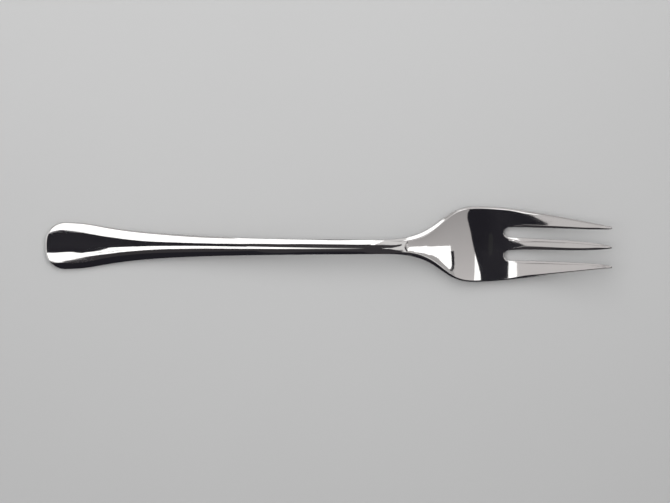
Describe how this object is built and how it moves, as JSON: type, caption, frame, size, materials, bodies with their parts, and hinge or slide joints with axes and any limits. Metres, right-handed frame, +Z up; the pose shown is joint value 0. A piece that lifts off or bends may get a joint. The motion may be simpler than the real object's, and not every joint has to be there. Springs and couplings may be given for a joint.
{
  "type": "pastry fork",
  "caption": "Slim polished steel pastry fork with a blunt waisted handle, arched stem, shallow dished head and pointed tines, for eating cake.",
  "frame": {"origin": "on the table plane, under the middle of the fork's length and width, with the fork lying face up at rest", "axes": "+X along the fork towards the points of the tines, +Y to the left-hand tine's side, +Z up"},
  "size_m": [0.15, 0.02, 0.0108],
  "materials": {
    "polished_steel": "mirror-polished stainless steel"
  },
  "bodies": {
    "root": {"handle": "polished_steel", "neck": "polished_steel", "head": "polished_steel", "left_tine": "polished_steel", "middle_tine": "polished_steel", "right_tine": "polished_steel"}
  },
  "joints": []
}
